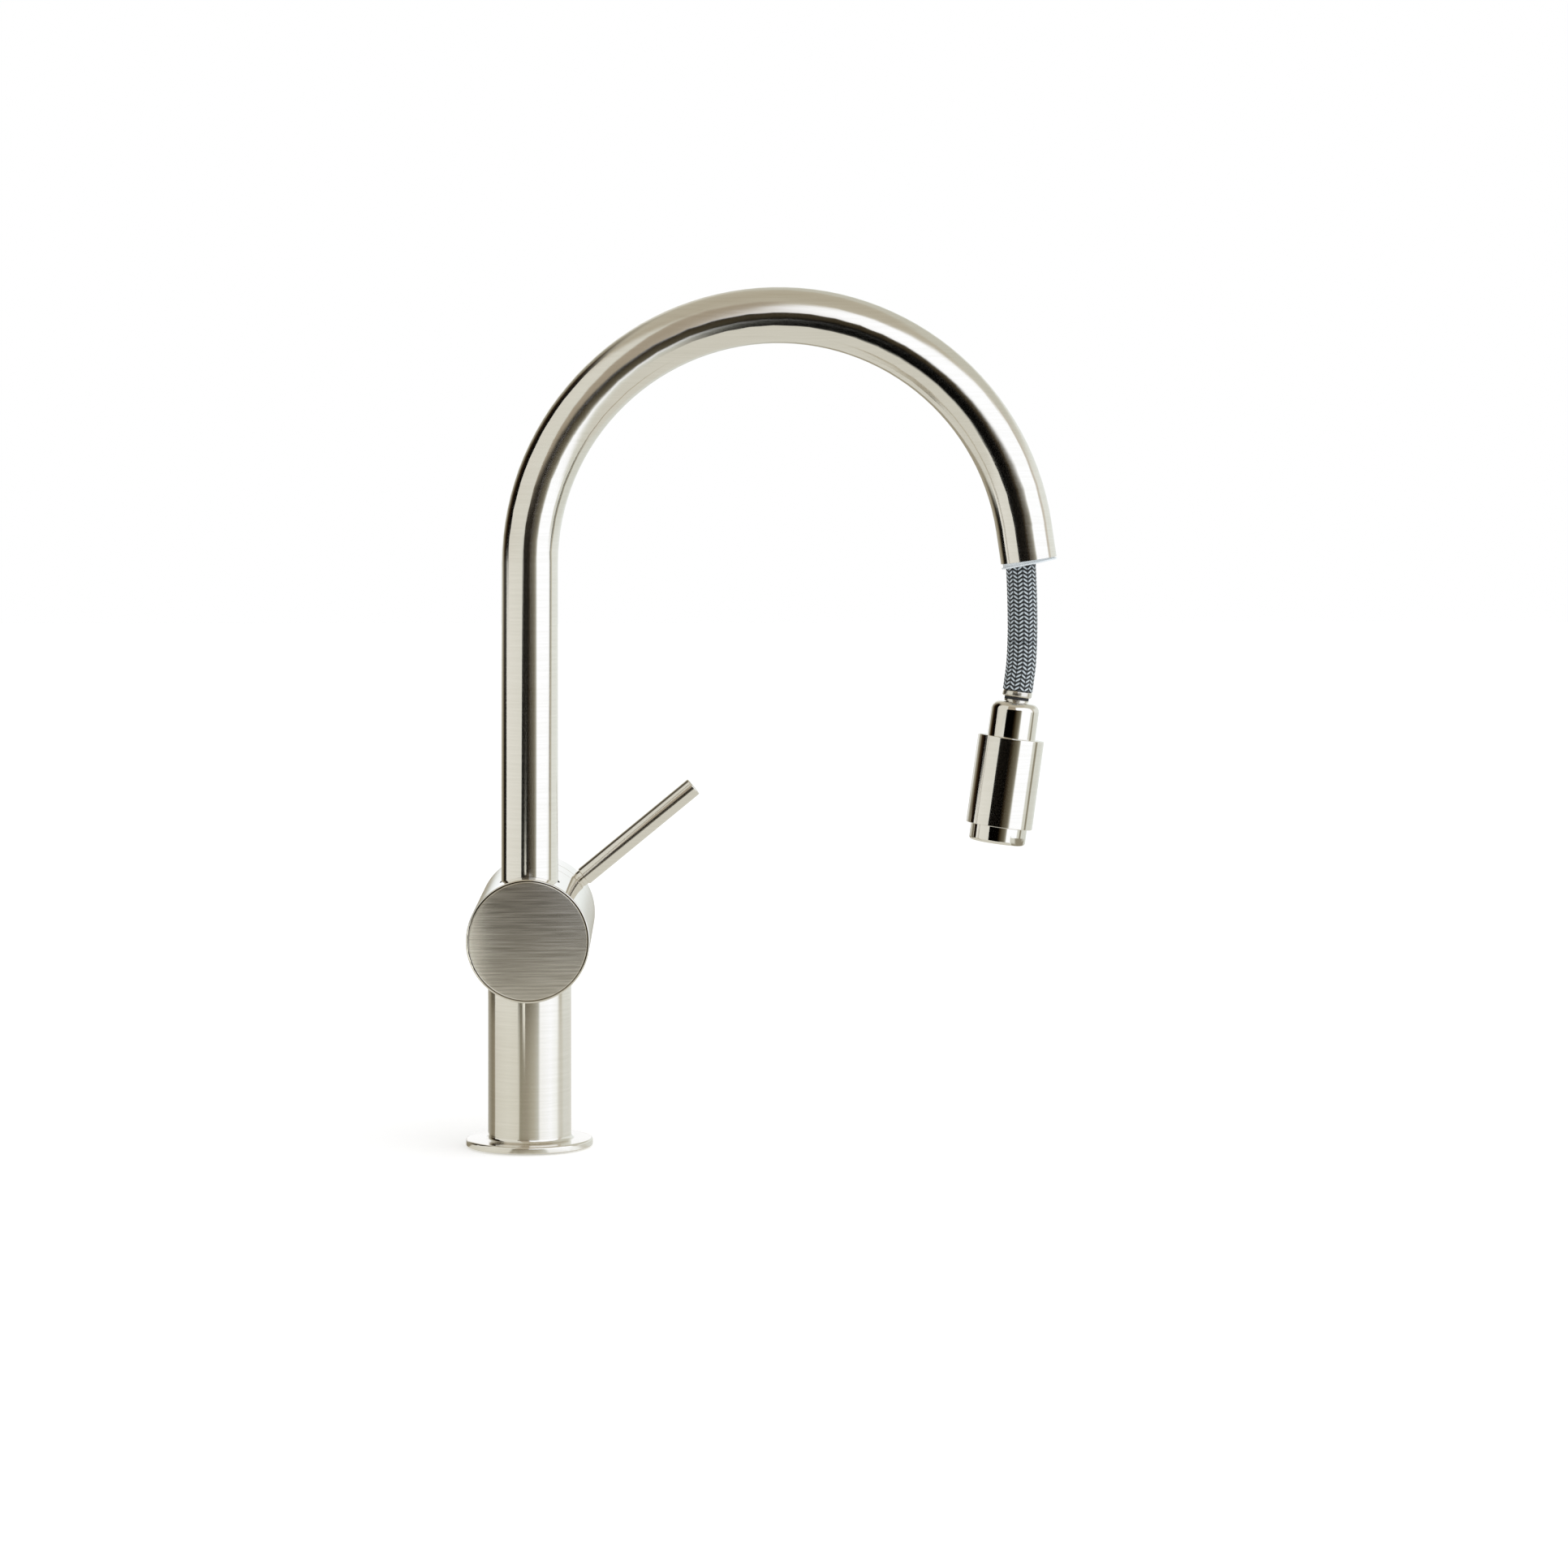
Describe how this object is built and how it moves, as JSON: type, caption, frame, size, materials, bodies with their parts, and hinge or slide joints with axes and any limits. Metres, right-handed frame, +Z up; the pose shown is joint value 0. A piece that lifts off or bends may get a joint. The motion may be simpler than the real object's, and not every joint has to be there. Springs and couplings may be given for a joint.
{
  "type": "pull down kitchen faucet",
  "caption": "Single-lever kitchen faucet with a slim column on a round deck flange, a sideways cylindrical valve, a pin lever, a high arch spout and a pull-down spray head on a braided hose.",
  "frame": {"origin": "centre of the deck flange's underside, on the riser's axis", "axes": "+X from the riser to the outlet, +Y along the valve housing towards the handle cap, +Z up"},
  "size_m": [0.2472, 0.1224, 0.3584],
  "materials": {
    "nickel": "polished nickel plate on brass",
    "brushed_nickel": "nickel plate with a fine straight brushing",
    "brass": "cast and machined, unplated",
    "steel": "machined stainless steel",
    "rubber": "moulded black EPDM",
    "dark_plastic": "moulded glass-filled plastic",
    "white_plastic": "moulded acetal",
    "hose_tube": "extruded flexible tube",
    "ceramic": "lapped alumina",
    "hose_braid": "blue-grey textile braid with dark gaps"
  },
  "bodies": {
    "base": {"column": "nickel", "deck_seal": "rubber", "valve_housing": "nickel", "front_cover": "brushed_nickel", "valve_core": "brass", "bonnet_ring": "nickel", "cartridge_nut": "brass", "cartridge_body": "dark_plastic", "cartridge_seal": "rubber", "port_disc": "ceramic", "lower_bush": "white_plastic", "upper_bush": "white_plastic", "spout_seals": "rubber", "supply_hose_end": "brass", "base_hose": "hose_braid"},
    "turret": {"turret": "white_plastic", "stem_pin": "steel"},
    "disc": {"mixing_disc": "ceramic", "disc_carrier": "dark_plastic"},
    "lever": {"stem": "steel", "handle_cap": "nickel", "lever_pin": "nickel", "lever_collar": "nickel", "grub_screw": "steel", "screw_plug": "brushed_nickel"},
    "spout": {"spout_tube": "nickel", "spout_clip": "steel", "mouth_ring": "white_plastic", "riser_hose": "hose_braid"},
    "hose": {"hose_braid": "hose_braid"},
    "hose_lift": {"hose_liner": "hose_tube"},
    "hose_end": {"ferrule": "brushed_nickel", "hose_nipple": "brushed_nickel", "nipple_seals": "rubber"},
    "head": {"head_neck": "nickel", "neck_nut": "brass", "head_shell": "nickel", "neck_clip": "steel", "check_valve": "dark_plastic", "aerator_seal": "rubber", "aerator_housing": "nickel", "jet_former": "white_plastic"}
  },
  "joints": [
    {"name": "spout_swivel", "type": "hinge", "parent": "base", "child": "spout", "pos_m": [0, 0, 0.1], "axis": [0, 0, 1], "range_deg": [-75, 75]},
    {"name": "hose_slide", "type": "slide", "parent": "spout", "child": "hose", "axis": [-0.1478, 0, 0.989], "range_m": [-0.35, 0.0152], "deforming": ["hose_braid"]},
    {"name": "head_dock", "type": "slide", "parent": "hose", "child": "hose_lift", "axis": [-0.1478, 0, 0.989], "range_m": [0, 0.0573], "deforming": ["hose_liner"]},
    {"name": "head_swing", "type": "hinge", "parent": "hose_lift", "child": "hose_end", "pos_m": [0.21045, 0, 0.23392], "axis": [0, -1, 0], "range_deg": [0, 16.36]},
    {"name": "head_spin", "type": "hinge", "parent": "hose_end", "child": "head", "pos_m": [0.2016, 0, 0.1697], "axis": [0.1366, 0, 0.9906], "continuous": true},
    {"name": "lever_turn", "type": "hinge", "parent": "base", "child": "turret", "pos_m": [0, 0, 0.0872], "axis": [0, 1, 0], "range_deg": [-50.7, 39.3]},
    {"name": "lever_tilt", "type": "hinge", "parent": "turret", "child": "lever", "pos_m": [0, 0.06, 0.0872], "axis": [-0.6334, 0, 0.7738], "range_deg": [0, 18]},
    {"name": "disc_slide", "type": "slide", "parent": "turret", "child": "disc", "axis": [0.7738, 0, 0.6334], "range_m": [0, 0.0043]}
  ],
  "couplings": [
    {"joint": "head_swing", "follows": "head_dock", "rad_per_m": 4.98},
    {"joint": "disc_slide", "follows": "lever_tilt", "m_per_rad": 0.013672}
  ]
}
